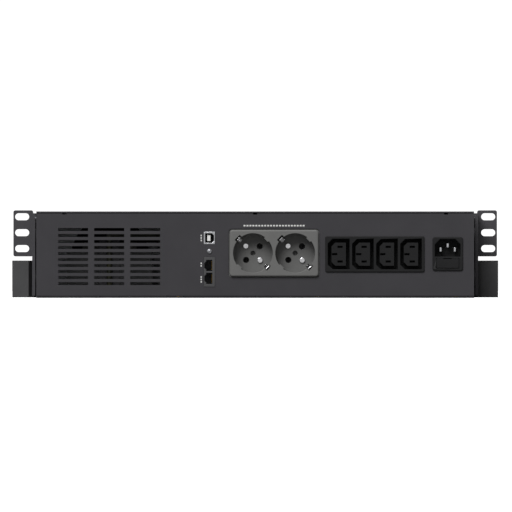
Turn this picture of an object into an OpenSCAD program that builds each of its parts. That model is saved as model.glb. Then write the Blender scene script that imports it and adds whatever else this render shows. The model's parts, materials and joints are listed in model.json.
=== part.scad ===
// Two-unit rackmount uninterruptible power supply, built as its separate pieces.
// Frame: X across the width, -Y at the front bezel, +Y at the rear panel, +Z up.
// The origin is the centre of the bottom face of the whole object's box. Millimetres.

/* [Chassis] */
// Width of the steel chassis
chassis_w = 430; // [424:1:440]
// Height of the steel chassis
chassis_h = 85; // [82:0.5:104]
// Depth from the rack posts' face to the rear panel's outer face
chassis_d = 360; // [350:1:520]
// Thickness of the folded steel sheet
sheet_t = 1.2; // [0.8:0.1:1.5]
// Length of the top cover's side lips
lip_h = 12; // [8:1:16]
// Width of the three locating notches in the rear panel's top edge
notch_w = 4; // [2:0.5:8]

/* [Rack ears] */
// Width over both rack ears, for a 19 inch rack
ear_span = 482.6; // [482:0.1:484]
// Thickness of the ear plate
ear_t = 2.5; // [2:0.1:3]
// Height of the ear plate
ear_h = 46; // [44:0.5:50]
// Height of the ears' top edge above the chassis floor
ear_top = 87.3; // [86:0.1:88]
// Distance between the left and right slot centres
slot_span = 465.1; // [463.5:0.1:466.7]
// Vertical distance between slots
slot_pitch = 15.875; // [15.875:0.001:15.876]
// Height of the middle slot
slot_mid_z = 65; // [64:0.1:66]
// Length of one slot
slot_l = 14; // [10:0.5:14]
// Width of one slot
slot_w = 7; // [6.5:0.1:7.5]
// Thickness of the flange beside the chassis
flange_t = 3; // [2:0.1:4]
// Gap between the flange and the chassis side
flange_gap = 4; // [2:0.5:5]
// Depth of the flange along the chassis side
flange_d = 60; // [50:1:90]
// Diameter of an ear screw's shank
ear_screw_d = 4; // [3:0.5:5]

/* [Front bezel] */
// How far the bezel stands in front of the rack posts' face
bezel_d = 34; // [30:1:45]
// Wall of the bezel moulding
bezel_wall = 2.8; // [2:0.1:4]
// Chamfer along the bezel's top and bottom front edges
bezel_chamfer = 4; // [2:0.5:4]
// Width over both lower wings
wing_span = 485; // [483:0.5:487]
// Height of the lower wings
wing_h = 37.2; // [30:0.1:38]
// Width of the slanted inner shoulder of a wing
wing_shoulder = 3.6; // [2:0.1:5]
// Depth of the shoulder on the +X side
shoulder_deep = 9; // [6:0.5:12]
// Depth of the shoulder on the -X side
shoulder_shallow = 1.6; // [1:0.1:4]

/* [Battery drawer] */
// Height of one battery, which lies across the drawer
battery_h = 94; // [80:1:95]
// Length of one battery, front to back
battery_l = 151; // [120:1:160]
// Width of one battery, which stands upright
battery_w = 65; // [50:1:68]
// Room between the two batteries for their terminals
lead_gap = 14; // [12:1:16]
// Clearance round the drawer's moving pieces
slide_gap = 0.8; // [0.5:0.1:1.5]
// Diameter of a thumbscrew's knob
thumb_d = 8; // [6:0.5:8]
// Depth of the finger grip in the drawer's front
grip_deep = 17; // [12:0.5:20]

/* [Display and buttons] */
// Width of the display window
window_w = 92; // [70:1:110]
// Height of the display window
window_h = 40; // [30:1:50]
// Diameter of the power button
power_d = 15; // [10:0.5:18]
// Width of a menu button
menu_w = 16; // [10:0.5:18]
// Height of a menu button
menu_h = 9; // [6:0.5:12]
// Clearance round a button
button_gap = 0.4; // [0.3:0.05:0.6]

/* [Rear vents] */
// Length of one vent slot
vent_w = 29.4; // [20:0.1:32]
// Height of one vent slot
vent_h = 2.9; // [2:0.1:3.5]
// Steel left between two columns of slots
vent_web = 6; // [4:0.1:8]
// Distance between rows of slots
vent_pitch = 5.9; // [5:0.1:7]
// Number of rows
vent_rows = 10; // [6:1:10]
// Number of columns
vent_cols = 3; // [2:1:3]
// Distance from the chassis side to the first column
vent_inset = 21.5; // [12:0.5:40]
// Height of the lowest row's centre
vent_z = 14.1; // [10:0.1:20]

/* [Earthed round outlets] */
// Diameter of one outlet recess
recess_d = 39; // [37:0.5:40]
// Depth of one outlet recess
recess_deep = 17.5; // [15:0.5:19]
// Rim of the plate round the recesses
recess_rim = 3.5; // [3:0.1:5]
// Plate left between the two recesses
recess_web = 2.5; // [1.5:0.1:5]
// Distance between the two pin holes of one outlet
pin_pitch = 19; // [18:0.5:20]
// Diameter of a pin hole
pin_hole_d = 6; // [5:0.1:6.5]
// How far the outlet plate stands out of the rear panel
plate_proud = 3; // [2:0.1:4]
// Gap between the outlet plate and the rear panel's cut-out
plate_gap = 0.9; // [0.5:0.1:1.5]

/* [Shrouded outlets] */
// Number of shrouded outlets in the strip
c13_count = 4; // [2:1:4]
// Distance between two shrouded outlets
c13_pitch = 23.65; // [23:0.05:26]
// Width of one outlet opening
c13_w = 21.1; // [20:0.1:22]
// Height of one outlet opening
c13_h = 29.7; // [28:0.1:31]
// Gap between the opening and its core
c13_gap = 3.5; // [3:0.1:4]
// Depth of one outlet opening
c13_deep = 17; // [15:0.5:19]

/* [Mains inlet] */
// Width of the inlet plate
inlet_w = 29.9; // [28:0.1:32]
// Height of the inlet plate
inlet_h = 33.2; // [32:0.1:36]
// Width of the inlet recess
inlet_recess_w = 24.8; // [24:0.1:26]
// Height of the inlet recess
inlet_recess_h = 17; // [16:0.1:18]
// Depth of the inlet recess
inlet_deep = 15; // [13:0.5:18]

/* [Signal ports] */
// Width of the signal port column
port_w = 11; // [10:0.1:13]
// Height of the square port's metal shell
usb_h = 12.3; // [12:0.1:14]
// Height of the double jack
jack_h = 29.2; // [28:0.1:32]

/* [Cooling] */
// Side of the square fan
fan_size = 80; // [60:1:80]
// Thickness of the fan
fan_t = 25; // [20:1:30]
// Number of fan blades
fan_blades = 7; // [5:1:9]
// Clearance between the fan's blades and its frame
fan_gap = 1; // [0.8:0.1:2]

/* [Transformer] */
// Width of the transformer core
core_w = 84; // [70:1:90]
// Depth of the transformer core
core_d = 70; // [60:1:80]
// Height of the core's stack of laminations
core_h = 32; // [25:1:36]

/* [Hidden] */
$fn = 64;

clr = 0.15;                 // clearance between pieces that are fixed to each other
panel_seam = 0.8;           // seam between the rear panel's edges and the folded sheets
eps = 0.5;                  // overrun of a cutting tool past the face it cuts
board_t = 1.6;              // thickness of a circuit board
flush_proud = 1.5;          // how far the shrouded outlets and the inlet stand out
button_proud = 1.2;         // how far the buttons stand out of the bezel

// Depth stations, from the front to the rear
total_d = button_proud + bezel_d + chassis_d + plate_proud;
y_front = -total_d / 2 + button_proud;
y_ear = y_front + bezel_d;
y_rear = y_ear + chassis_d;
y_panel = y_rear - sheet_t;

// Walls of the chassis
half_w = chassis_w / 2;
side_in = half_w - sheet_t;
lip_in = side_in - sheet_t;
floor_z = sheet_t;
roof_z = chassis_h - sheet_t;

// Rack ears
flange_in = half_w + flange_gap;
flange_out = flange_in + flange_t;
ear_half = ear_span / 2;
ear_bottom = ear_top - ear_h;
boss_d = 14;
ear_screw_y = [y_ear + 16, y_ear + flange_d - 14];
ear_screw_z = [20, 62];

// Front bezel
bezel_half = flange_out;
bezel_low = 0.3;
bezel_high = chassis_h - 0.6;
wing_half = wing_span / 2;
wing_back = y_ear - 0.5;
skin_y = y_front + bezel_wall;

// Battery drawer
tray_w = 2 * battery_h + lead_gap + 2 * sheet_t + 1;
drawer_x = -half_w + 109;
bay_left = drawer_x - tray_w / 2 - slide_gap;
bay_right = drawer_x + tray_w / 2 + slide_gap;
battery_y = y_ear + 8;
battery_z = floor_z + slide_gap + sheet_t + 0.2;
tray_front = y_ear + 3;
tray_back = battery_y + battery_l + 12;
bay_back = tray_back + 3;
terminal_y = [battery_y + 14, battery_y + battery_l - 14];
terminal_z = battery_z + battery_w / 2;
bay_top = battery_z + battery_w + 3;
door_w = tray_w + 4;
door_low = bezel_low + 1.7;
door_high = chassis_h - 3;
door_t = 7;
thumb_x = door_w / 2 - 14;
thumb_z = bay_top + 4.6;
thumb_shank_d = 4;
grip_w = 84;
grip_h = 20;
grip_z = (door_low + door_high) / 2 - 12;

// Display side of the bezel
window_x = bay_right + 20 + window_w / 2;
window_z = chassis_h / 2 + 3;
button_x = (window_x + window_w / 2 + bezel_half - 8) / 2;
power_z = window_z + 10;
menu_z = window_z - 14;
board_y = y_front + 15;
switch_h = 4;
button_travel = 1.5;

// Rear panel layout, from the vents to the inlet
vent_step = vent_w + vent_web;
vent_x = half_w - vent_inset - (vent_cols * vent_step - vent_web) / 2;
port_x = 45;
usb_z = 58.9;
port_screw_z = 45.7;
jack_z = 25.5;
recess_pitch = recess_d + recess_web;
schuko_w = 2 * recess_d + recess_web + 2 * recess_rim;
schuko_h = recess_d + 2 * recess_rim;
schuko_x = port_x - port_w / 2 - 14.3 - schuko_w / 2;
schuko_z = 44;
schuko_turn = -45;
schuko_r = 3;
schuko_flange_t = 2;
schuko_back = y_rear - 34;
recess_floor = y_rear + plate_proud - recess_deep;
c13_plate_w = (c13_count - 1) * c13_pitch + c13_w + 5.4;
c13_plate_h = c13_h + 5.5;
c13_x = schuko_x - schuko_w / 2 - 6.5 - c13_plate_w / 2;
c13_z = 43;
c13_back = y_rear - 24;
c13_face = y_rear + flush_proud;
c13_core_w = c13_w - 2 * c13_gap;
c13_core_h = c13_h - 2 * c13_gap;
c13_slot = [5.2, 2.1];
c13_line = 7.2;
inlet_x = -half_w + 25.9;
inlet_z = 43.3;
inlet_back = y_rear - 30;
inlet_recess_z = inlet_z + inlet_h / 2 - 2.3 - inlet_recess_h / 2;
fuse_w = 22;
fuse_h = 9.6;
fuse_gap = 0.3;
fuse_z = inlet_z - inlet_h / 2 + 2.6 + fuse_h / 2;
fuse_deep = 27;

// Power stage
core_z = floor_z + 12;
core_y = y_rear - 34 - core_d / 2;
coil_wall = core_w / 6 - 1.5;
coil_over = 9.5;
strap_w = 20;
strap_t = 1.5;
pcb_z = floor_z + 7;
pcb_left = -side_in + 8;
pcb_right = port_x + 38;
pcb_front = bay_back + 6;
pcb_back = schuko_back - 10;
pcb_top = pcb_z + board_t;
fan_y = bay_back + 12;
fan_x = vent_x;
fan_z = chassis_h / 2;

// A drawing of X and Z, extruded from y over a depth
module xz(y, depth) {
    translate([0, y + depth, 0]) rotate([90, 0, 0]) linear_extrude(depth) children();
}

// A drawing of Y and Z, extruded from x over a width
module yz(x, width) {
    translate([x, 0, 0]) rotate([90, 0, 90]) linear_extrude(width) children();
}

// A drawing of X and Y, extruded from z over a height
module xy(z, height) {
    translate([0, 0, z]) linear_extrude(height) children();
}

// A rod along Y, and one along X
module rod_y(x, y, z, d, length) {
    translate([x, y, z]) rotate([-90, 0, 0]) cylinder(d = d, h = length);
}
module rod_x(x, y, z, d, length) {
    translate([x, y, z]) rotate([0, 90, 0]) cylinder(d = d, h = length);
}

// A rectangle with round corners
module rounded(w, h, r) {
    square([w - 2 * r, h], center = true);
    square([w, h - 2 * r], center = true);
    for (x = [-1, 1], y = [-1, 1])
        translate([x * (w / 2 - r), y * (h / 2 - r)]) circle(r);
}

// A slot with round ends, its length along X
module slot(length, width) {
    square([length - width, width], center = true);
    for (x = [-1, 1]) translate([x * (length - width) / 2, 0]) circle(d = width);
}

// A rectangle with both corners on the side turned to +X cut off
module keyed(w, h, cut) {
    polygon([
        [-w / 2, -h / 2], [w / 2 - cut, -h / 2], [w / 2, -h / 2 + cut],
        [w / 2, h / 2 - cut], [w / 2 - cut, h / 2], [-w / 2, h / 2]
    ]);
}

// A block given by its low and high corners
module block(low, high) {
    translate(low) cube(high - low);
}

// A wire through a list of points, with round elbows
module wire(points, d) {
    for (i = [0 : len(points) - 2]) {
        run = points[i + 1] - points[i];
        length = norm(run);
        translate(points[i])
            rotate([0, acos(run[2] / length), atan2(run[1], run[0])])
                cylinder(d = d, h = length);
        if (i > 0) translate(points[i]) sphere(d = d);
    }
}

// ---- Chassis ----

module side_vents() {
    for (i = [0 : 9])
        translate([y_rear - 150 + i * 9, chassis_h / 2]) rounded(4, 40, 1.9);
}

module ear_screw_holes(side) {
    for (y = ear_screw_y, z = ear_screw_z)
        rod_x(side * half_w - 12, y, z, ear_screw_d + 2 * clr, 24);
}

cover_screw_y = [y_ear + 100, y_ear + chassis_d / 2 + 40, y_rear - 30];
cover_screw_z = roof_z - lip_h / 2;

module cover_screw_holes(side) {
    for (y = cover_screw_y)
        rod_x(side * half_w - 12, y, cover_screw_z, 3 + 2 * clr, 24);
}

module chassis_tray() {
    color("#3b3b3d") difference() {
        union() {
            block([-half_w, y_ear, 0], [half_w, y_rear, sheet_t]);
            for (side = [-1, 1])
                translate([side * (half_w - sheet_t / 2), (y_ear + y_panel) / 2, roof_z / 2])
                    cube([sheet_t, y_panel - y_ear, roof_z], center = true);
        }
        for (side = [-1, 1]) {
            ear_screw_holes(side);
            cover_screw_holes(side);
        }
        yz(side_in - eps, sheet_t + 2 * eps) side_vents();
        yz(-half_w - eps, sheet_t + 2 * eps) side_vents();
    }
}

module top_cover() {
    color("#39393b") difference() {
        union() {
            block([-half_w, y_ear, roof_z], [half_w, y_rear, chassis_h]);
            for (side = [-1, 1])
                translate([side * (side_in - sheet_t / 2), (y_ear + y_panel) / 2, roof_z - lip_h / 2])
                    cube([sheet_t - 2 * clr, y_panel - y_ear - 30, lip_h], center = true);
        }
        for (side = [-1, 1]) cover_screw_holes(side);
    }
}

module rear_vents() {
    for (col = [0 : vent_cols - 1], row = [0 : vent_rows - 1])
        translate([vent_x + (col - (vent_cols - 1) / 2) * vent_step, vent_z + row * vent_pitch])
            square([vent_w, vent_h], center = true);
}

module rear_cutouts() {
    rear_vents();
    translate([schuko_x, schuko_z])
        rounded(schuko_w + 2 * plate_gap, schuko_h + 2 * plate_gap, schuko_r + plate_gap);
    translate([c13_x, c13_z]) square([c13_plate_w - 3 + clr, c13_plate_h - 3 + clr], center = true);
    translate([inlet_x, inlet_z]) square([inlet_w - 3 + clr, inlet_h - 3 + clr], center = true);
    translate([port_x, usb_z]) square([port_w + 2 * clr, usb_h + 2 * clr], center = true);
    translate([port_x, jack_z]) square([port_w + 2 * clr, jack_h + 2 * clr], center = true);
    translate([port_x, port_screw_z]) circle(d = 3 + 2 * clr);
}

module rear_panel() {
    low = floor_z + panel_seam;
    high = roof_z - panel_seam;
    flange = 12;
    color("#3e3e41") difference() {
        union() {
            block([-half_w, y_panel, low], [half_w, y_rear, high]);
            for (side = [-1, 1])
                translate([side * (side_in - clr - sheet_t / 2), y_panel - flange / 2 + eps, chassis_h / 2])
                    cube([sheet_t, flange + 2 * eps, high - low - 2 * lip_h - 6], center = true);
            block([-side_in + 6, y_panel - flange, low], [side_in - 6, y_panel + eps, low + sheet_t]);
        }
        xz(y_panel - eps, sheet_t + 2 * eps) rear_cutouts();
        for (x = [-1, 0, 1])
            translate([x * (half_w - 27.5), y_rear, high]) cube([notch_w, 4 * sheet_t, 2.2], center = true);
    }
}

module front_plate() {
    color("#3b3b3d") difference() {
        block([-side_in + clr, y_ear + clr, floor_z + clr],
            [side_in - clr, y_ear + clr + sheet_t, roof_z - clr]);
        block([bay_left, y_ear - eps, floor_z - eps], [bay_right, y_ear + 4, bay_top]);
        xz(y_ear - eps, 4) {
            for (i = [-3 : 3])
                translate([window_x + i * 12, chassis_h / 2 - 8]) square([6, 40], center = true);
            translate([button_x, chassis_h / 2]) circle(d = 20);
            for (p = bezel_bosses) translate(p) circle(d = 3 + 2 * clr);
            for (side = [-1, 1])
                translate([drawer_x + side * thumb_x, thumb_z]) circle(d = thumb_shank_d + 0.8);
        }
    }
}

module bay_divider() {
    wall = bay_right + clr;
    back = bay_back;
    color("#8f9194") difference() {
        union() {
            block([wall, y_ear + 3, floor_z], [wall + sheet_t, back + sheet_t, bay_top + 6]);
            block([-side_in + 4, back, floor_z], [wall + eps, back + sheet_t, bay_top + 6]);
        }
        translate([drawer_x, back, terminal_z]) cube([42 + 2 * clr, 6, 22 + 2 * clr], center = true);
        for (x = [-1, 1]) translate([drawer_x + x * 62, back, terminal_z]) cube([50, 6, 30], center = true);
    }
}

// ---- Rack ears ----

module ear_slots() {
    for (i = [-1, 0, 1]) translate([slot_span / 2, slot_mid_z + i * slot_pitch]) slot(slot_l, slot_w);
}

// The plate's inner edge runs a little way into the flange, so that the two are one piece
module ear_outline() {
    inner = flange_out - 0.5;
    translate([(inner + ear_half) / 2, ear_top - ear_h / 2]) rounded(ear_half - inner, ear_h, 2);
}

// The ear on the +X side: plate, side flange and spacer bosses
module ear_bracket() {
    difference() {
        union() {
            xz(y_ear - ear_t, ear_t) difference() {
                ear_outline();
                ear_slots();
            }
            block([flange_in, y_ear - ear_t + 0.5, 2.1], [flange_out, y_ear + flange_d, chassis_h - 1.3]);
            for (y = ear_screw_y, z = ear_screw_z) rod_x(half_w, y, z, boss_d, flange_gap + 1);
        }
        for (y = ear_screw_y, z = ear_screw_z) {
            rod_x(half_w - 1, y, z, ear_screw_d + 2 * clr, 20);
            rod_x(flange_out - 2, y, z, 2 * ear_screw_d + 2 * clr, 10);
        }
    }
}

module ear_bracket_left() {
    color("#414143") ear_bracket();
}

module ear_bracket_right() {
    color("#414143") mirror([1, 0, 0]) ear_bracket();
}

module ear_screw_set() {
    length = flange_t + flange_gap + sheet_t;
    for (y = ear_screw_y, z = ear_screw_z) difference() {
        union() {
            rod_x(flange_out - length - 1, y, z, ear_screw_d, length);
            rod_x(flange_out - 2 + clr, y, z, 2 * ear_screw_d, 2 - clr);
        }
        translate([flange_out, y, z]) cube([2.4, 4.6, 0.9], center = true);
        translate([flange_out, y, z]) cube([2.4, 0.9, 4.6], center = true);
    }
}

module ear_screws() {
    color("#6f7073") {
        ear_screw_set();
        mirror([1, 0, 0]) ear_screw_set();
    }
}

module cover_screw_set() {
    for (y = cover_screw_y) difference() {
        union() {
            rod_x(lip_in - 1, y, cover_screw_z, 3, half_w - lip_in + 1.5);
            rod_x(half_w, y, cover_screw_z, 6, 1.6);
        }
        translate([half_w + 1.6, y, cover_screw_z]) cube([1.6, 3.6, 0.8], center = true);
        translate([half_w + 1.6, y, cover_screw_z]) cube([1.6, 0.8, 3.6], center = true);
    }
}

module cover_screws() {
    color("#6f7073") {
        cover_screw_set();
        mirror([1, 0, 0]) cover_screw_set();
    }
}

// ---- Front bezel ----

// The upper bosses stand close under the top wall
boss_low = 12;
boss_high = chassis_h - 8;
bezel_bosses = [for (x = [bay_right + 9, bezel_half - 17], z = [boss_low, boss_high]) [x, z]];

module bezel_profile(inset) {
    polygon([
        [wing_back + 0.5, bezel_low + inset], [y_front + bezel_chamfer + inset / 2, bezel_low + inset],
        [y_front + inset, bezel_low + bezel_chamfer + inset / 2],
        [y_front + inset, bezel_high - bezel_chamfer - inset / 2],
        [y_front + bezel_chamfer + inset / 2, bezel_high - inset], [wing_back + 0.5, bezel_high - inset]
    ]);
}

// Plan of the +X wing: flat rear face, slanted inner shoulder, chamfered front corner
module wing_plan(shoulder) {
    polygon([
        [bezel_half - eps, y_front + bezel_chamfer], [wing_half - 8, y_front + bezel_chamfer],
        [wing_half, y_front + bezel_chamfer + 8], [wing_half, wing_back],
        [bezel_half + 0.6 + wing_shoulder, wing_back], [bezel_half + 0.6, wing_back - shoulder],
        [bezel_half - eps, wing_back - shoulder]
    ]);
}

module door_opening(gap) {
    translate([drawer_x, (door_low + door_high) / 2])
        rounded(door_w + 2 * gap, door_high - door_low + 2 * gap, 3);
}

module front_bezel() {
    color("#2e2e30") difference() {
        union() {
            yz(-bezel_half, 2 * bezel_half) bezel_profile(0);
            xy(bezel_low, wing_h - bezel_low) wing_plan(shoulder_deep);
            mirror([1, 0, 0]) xy(bezel_low, wing_h - bezel_low) wing_plan(shoulder_shallow);
        }
        // slope on the top of the shallow shoulder
        mirror([1, 0, 0]) xz(wing_back - 4, 4 + eps) polygon([
            [bezel_half + 0.01, wing_h - 2], [bezel_half + 0.6 + wing_shoulder, wing_h + 0.01],
            [bezel_half + 0.01, wing_h + 0.01]
        ]);
        // hollow of the moulding, in two chambers either side of a wall
        intersection() {
            yz(-bezel_half, 2 * bezel_half) bezel_profile(bezel_wall);
            union() {
                block([bay_right + 3, y_front, 0], [bezel_half - bezel_wall, y_ear + eps, chassis_h]);
                block([bay_left - 2, skin_y, 0], [bay_right + 1, y_ear + eps, chassis_h]);
            }
        }
        // clearance for the ear brackets' bends
        for (side = [0, 1]) mirror([side, 0, 0])
            block([flange_in - 0.3, y_ear - ear_t - 0.3, 0], [flange_out + 0.6, y_ear + eps, chassis_h]);
        xz(y_front - eps, 14) door_opening(slide_gap);
        block([bay_left, skin_y, door_low - slide_gap], [bay_right, y_ear + eps, bay_top]);
        xz(y_front - eps, bezel_wall + 2 * eps) {
            translate([window_x, window_z]) rounded(window_w + 2 * clr, window_h + 2 * clr, 2);
            translate([button_x, power_z]) circle(d = power_d + 2 * button_gap);
            for (side = [-1, 1]) translate([button_x + side * (menu_w / 2 + 2.5), menu_z])
                rounded(menu_w + 2 * button_gap, menu_h + 2 * button_gap, 2);
            for (i = [0 : 3]) translate([window_x, 9 + i * 4]) square([window_w - 20, 1.8], center = true);
        }
    }
    color("#2e2e30") for (p = bezel_bosses) difference() {
        rod_y(p[0], skin_y - 0.3, p[1], 8, y_ear - skin_y + 0.3);
        rod_y(p[0], y_ear - 12, p[1], 3 + 2 * clr, 13);
    }
}

module bezel_screws() {
    y_head = y_ear + clr + sheet_t;
    color("#9a9b9e") for (p = bezel_bosses) {
        rod_y(p[0], y_ear - 10, p[1], 3, y_head - y_ear + 10.5);
        rod_y(p[0], y_head + 0.05, p[1], 6, 2);
    }
}

module display_window() {
    color("#101214") {
        xz(y_front + 0.6, bezel_wall - 0.6) translate([window_x, window_z]) rounded(window_w, window_h, 2);
        xz(skin_y + 0.02, 1.5) translate([window_x, window_z]) rounded(window_w + 6, window_h + 6, 3);
    }
}

module lcd_panel() {
    color("#9fb4a0") xz(skin_y + 2.5, 4)
        translate([window_x, window_z]) square([window_w - 14, window_h - 10], center = true);
}

module display_board() {
    left = window_x - window_w / 2 - 2;
    right = bezel_half - 12;
    color("#1f5a34") {
        difference() {
            block([left, board_y, door_low + 20], [right, board_y + board_t, door_high - 2]);
            for (p = bezel_bosses) rod_y(p[0], board_y - 1, p[1], 9, 4);
        }
        for (x = [-1, 1]) block([button_x + x * (menu_w / 2 + 2.5) - 3, board_y - switch_h, menu_z - 3],
            [button_x + x * (menu_w / 2 + 2.5) + 3, board_y + 0.2, menu_z + 3]);
        block([button_x - 3, board_y - switch_h, power_z - 3], [button_x + 3, board_y + 0.2, power_z + 3]);
    }
}

// A cap in the bezel's hole, a flange behind the skin and a stem to the switch
module button_parts(x, z, stem_d) {
    children(0);
    rod_y(x, skin_y + 2, z, stem_d, board_y - switch_h - button_travel - 0.4 - skin_y - 2);
}

module power_button() {
    color("#1c1c1e") button_parts(button_x, power_z, 4)
        union() {
            rod_y(button_x, y_front - button_proud, power_z, power_d, skin_y + 0.4 - y_front + button_proud);
            rod_y(button_x, skin_y + 0.3, power_z, power_d + 3, 1.8);
        }
}

module menu_button(side) {
    x = button_x + side * (menu_w / 2 + 2.5);
    color("#1c1c1e") button_parts(x, menu_z, 4)
        union() {
            xz(y_front - button_proud, skin_y + 0.4 - y_front + button_proud)
                translate([x, menu_z]) rounded(menu_w, menu_h, 1.8);
            xz(skin_y + 0.3, 1.8) translate([x, menu_z]) rounded(menu_w + 2, menu_h + 3, 2);
        }
}

module select_button() menu_button(-1);
module mute_button() menu_button(1);

// ---- Battery drawer ----

module drawer_front() {
    color("#2a2a2c") difference() {
        union() {
            intersection() {
                xz(y_front, door_t) door_opening(0);
                yz(-bezel_half, 2 * bezel_half) bezel_profile(0);
            }
            xz(y_front + 1, grip_deep + 1) translate([drawer_x, grip_z]) rounded(grip_w + 5, grip_h + 5, 6);
            for (side = [-1, 1])
                block([drawer_x + side * 74 - 4, y_front + door_t - eps, 12],
                    [drawer_x + side * 74 + 4, tray_front, bay_top - 8]);
        }
        xz(y_front - eps, grip_deep + eps) translate([drawer_x, grip_z]) rounded(grip_w, grip_h, 4);
        for (i = [0 : 3]) xz(y_front - eps, 1.2 + eps)
            translate([drawer_x, grip_z + grip_h / 2 + 8 + i * 5]) square([tray_w - 60, 2], center = true);
        for (side = [-1, 1]) {
            rod_y(drawer_x + side * thumb_x, y_front - eps, thumb_z, thumb_d + 1.2, 4 + eps);
            rod_y(drawer_x + side * thumb_x, y_front, thumb_z, thumb_shank_d + 0.8, door_t + 1);
        }
    }
}

module thumbscrew(side) {
    x = drawer_x + side * thumb_x;
    color("#a9aaad") difference() {
        union() {
            rod_y(x, y_front - 1, thumb_z, thumb_d, 4.6);
            rod_y(x, y_front + 2, thumb_z, thumb_shank_d, y_ear - y_front + 2);
        }
        translate([x, y_front - 1, thumb_z]) cube([thumb_d + 1, 2, 1.2], center = true);
    }
}

module thumbscrew_left() thumbscrew(-1);
module thumbscrew_right() thumbscrew(1);

module drawer_tray() {
    bottom = floor_z + slide_gap;
    left = drawer_x - tray_w / 2;
    right = drawer_x + tray_w / 2;
    side_h = 22;
    color("#8f9194") difference() {
        union() {
            block([left, tray_front, bottom], [right, tray_back, bottom + sheet_t]);
            block([left, tray_front, bottom], [left + sheet_t, tray_back, bottom + side_h]);
            block([right - sheet_t, tray_front, bottom], [right, tray_back, bottom + side_h]);
            block([left, tray_front, bottom], [right, tray_front + sheet_t, bay_top - 4]);
            block([left, tray_back - sheet_t, bottom], [right, tray_back, terminal_z + 14]);
        }
        xz(tray_back - sheet_t - eps, sheet_t + 2 * eps)
            translate([drawer_x, terminal_z]) square([36 + 2 * clr, 18 + 2 * clr], center = true);
    }
}

// One sealed battery: case with a shallow lid step on its terminal face, which looks to +X
module battery(x) {
    color("#4b4d52") union() {
        block([x, battery_y, battery_z], [x + battery_h - 6, battery_y + battery_l, battery_z + battery_w]);
        block([x + battery_h - 6.5, battery_y + 1, battery_z + 1],
            [x + battery_h, battery_y + battery_l - 1, battery_z + battery_w - 1]);
    }
}

module battery_left() {
    battery(drawer_x - lead_gap / 2 - battery_h);
}

module battery_right() {
    translate([2 * drawer_x, 0, 0]) mirror([1, 0, 0]) battery(drawer_x - lead_gap / 2 - battery_h);
}

module battery_terminals() {
    face = lead_gap / 2;
    color("#c8c9cb") for (side = [-1, 1], y = terminal_y)
        translate([drawer_x + side * (face - 2), y, terminal_z]) cube([4, 6.3, 0.9], center = true);
}

module battery_leads() {
    lead_d = 3.4;
    z = terminal_z + 0.45 + lead_d / 2;
    reach = lead_gap / 2 - lead_d / 2 - 0.1;
    color("#a5231f") {
        for (side = [-1, 1])
            rod_y(drawer_x + side * reach, terminal_y[1] - 4, z, lead_d, tray_back - terminal_y[1] + 1.5);
        rod_x(drawer_x - reach, terminal_y[0], z, lead_d, 2 * reach);
    }
}

module drawer_connector() {
    color("#b9a13a") difference() {
        translate([drawer_x, tray_back - 1, terminal_z]) cube([36, 3, 18], center = true);
        for (x = [-1, 1]) rod_y(drawer_x + x * 9, tray_back - 1, terminal_z, 8, 4);
    }
}

module bay_connector() {
    color("#b9a13a") union() {
        translate([drawer_x, bay_back + 3.5, terminal_z]) cube([42, 8, 22], center = true);
        for (x = [-1, 1]) rod_y(drawer_x + x * 9, tray_back - 0.6, terminal_z, 7, bay_back - tray_back + 1);
    }
}

// ---- Transformer ----

module transformer_core() {
    leg = core_w / 6;
    color("#8a8b8e") translate([vent_x, core_y, core_z]) difference() {
        translate([-core_w / 2, -core_d / 2, 0]) cube([core_w, core_d, core_h]);
        for (side = [-1, 1])
            translate([side * 1.5 * leg, 0, core_h / 2])
                cube([leg, core_d - 2 * leg, core_h + 2], center = true);
    }
}

module transformer_coil() {
    leg = core_w / 6;
    color("#8c8a4a") translate([vent_x, core_y, core_z + core_h / 2]) difference() {
        cube([2 * leg + 2 * coil_wall, core_d - 2 * leg - 1, core_h + 2 * coil_over], center = true);
        cube([2 * leg + 2 * clr, core_d, core_h + 2 * clr], center = true);
    }
}

module transformer_bracket() {
    reach = core_d / 2 + clr;
    top = core_z + core_h + coil_over + 0.3;
    color("#1d1d1f") translate([vent_x, core_y, 0]) difference() {
        union() {
            for (side = [-1, 1]) {
                translate([0, side * (reach + strap_t / 2), (top + floor_z) / 2])
                    cube([strap_w, strap_t, top - floor_z], center = true);
                translate([0, side * (reach + 8), floor_z + strap_t / 2])
                    cube([strap_w, 16, strap_t], center = true);
            }
            translate([0, 0, top + strap_t / 2])
                cube([strap_w, 2 * (reach + strap_t), strap_t], center = true);
        }
        for (side = [-1, 1]) translate([0, side * (reach + 10), 0]) cylinder(d = 4, h = 10);
    }
}

module transformer_leads() {
    back = core_y + core_d / 2 + strap_t + 3.2;
    top = core_z + core_h + coil_over + 8;
    color("#77793a") wire([[vent_x, back, floor_z + 4], [vent_x, back, top], [vent_x - 52, back, top]], 5);
    for (i = [0, 1]) color("#9c2a22")
        rod_x(vent_x - 56, core_y - 12 - 7 * i, core_z + core_h + coil_over + 1.8, 3.2, 44);
}

// ---- Boards ----

module main_board() {
    color("#1f5a34") block([pcb_left, pcb_front, pcb_z], [pcb_right, pcb_back, pcb_top]);
}

standoff_x = [pcb_left + 8, (pcb_left + pcb_right) / 2, pcb_right - 8];
standoff_y = [pcb_front + 8, pcb_back - 8];

module board_standoffs() {
    color("#c9a54e") {
        for (x = standoff_x, y = standoff_y) translate([x, y, floor_z]) cylinder(d = 6, h = pcb_z - floor_z);
        difference() {
            rod_y(port_x, y_panel - 9, port_screw_z, 5.5, 9);
            rod_y(port_x, y_panel - 8, port_screw_z, 3 + 2 * clr, 9);
        }
    }
}

sink_x = [pcb_left + 55, pcb_left + 165];
sink_y = (pcb_front + pcb_back) / 2 + 12;
sink_l = 84;
sink_h = 48;

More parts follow.
